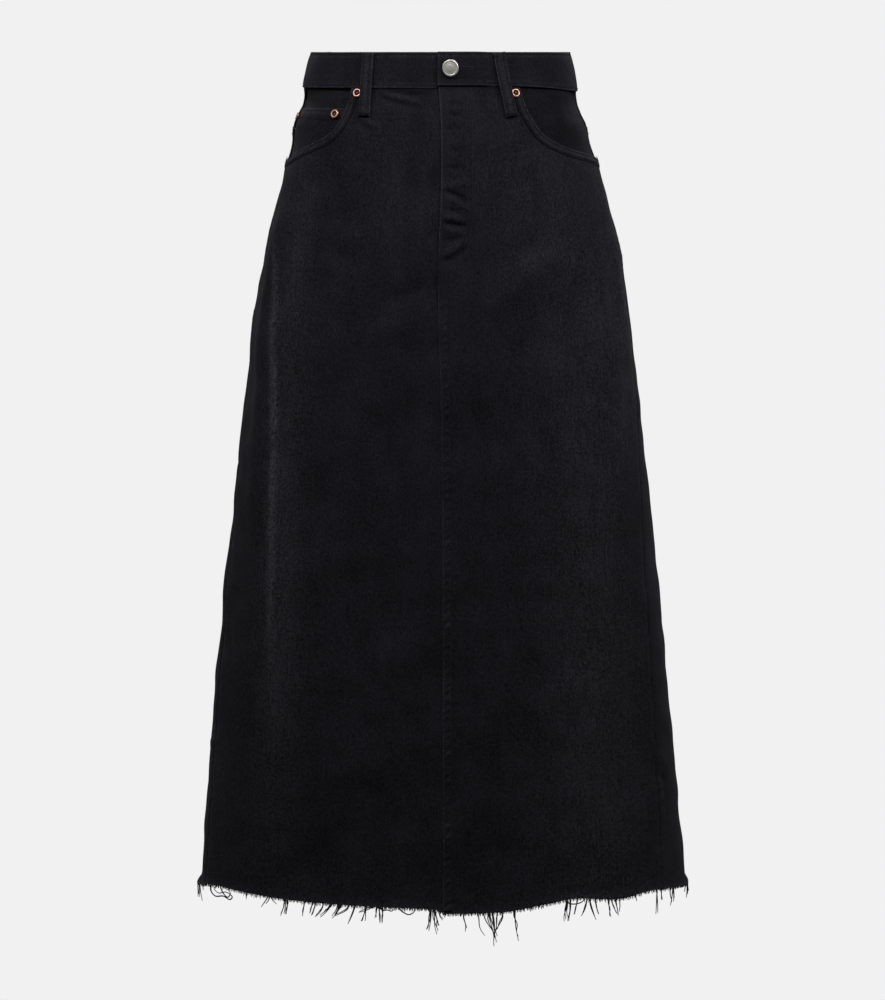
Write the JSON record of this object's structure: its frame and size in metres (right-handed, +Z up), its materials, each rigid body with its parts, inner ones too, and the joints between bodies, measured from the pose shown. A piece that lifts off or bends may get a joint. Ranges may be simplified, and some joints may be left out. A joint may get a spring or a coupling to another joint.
{
  "type": "denim skirt",
  "caption": "Long flared denim skirt as worn, with a lapped waistband, belt loops, fly, scooped front pockets, back patches and a raw frayed hem.",
  "frame": {"origin": "centre of the waistband ring, halfway up the band, where the wearer's waist holds the skirt", "axes": "+Z up, along the wearer's body; the front faces -Y; +X is the wearer's left"},
  "size_m": [0.5165, 0.3214, 0.9042],
  "materials": {
    "denim": "washed black cotton twill",
    "yarn": "loose black cotton yarn",
    "button": "worn antique silver",
    "rivet": "dull copper"
  },
  "bodies": {
    "root": {"waistband": "denim", "front_right": "denim", "front_left": "denim", "back_right": "denim", "back_left": "denim", "yoke_right": "denim", "yoke_left": "denim", "pocket_facing_right": "denim", "pocket_facing_left": "denim", "coin_pocket": "denim", "back_pocket_right": "denim", "back_pocket_left": "denim", "belt_loop_front_right": "denim", "belt_loop_front_left": "denim", "belt_loop_back_right": "denim", "belt_loop_back_left": "denim", "belt_loop_centre_back": "denim", "waist_button": "button", "rivet_pocket_right": "rivet", "rivet_pocket_left": "rivet", "rivet_coin_inner": "rivet", "rivet_coin_outer": "rivet", "fray_front_right": "yarn", "fray_front_left": "yarn", "fray_back_right": "yarn", "fray_back_left": "yarn"}
  },
  "joints": []
}
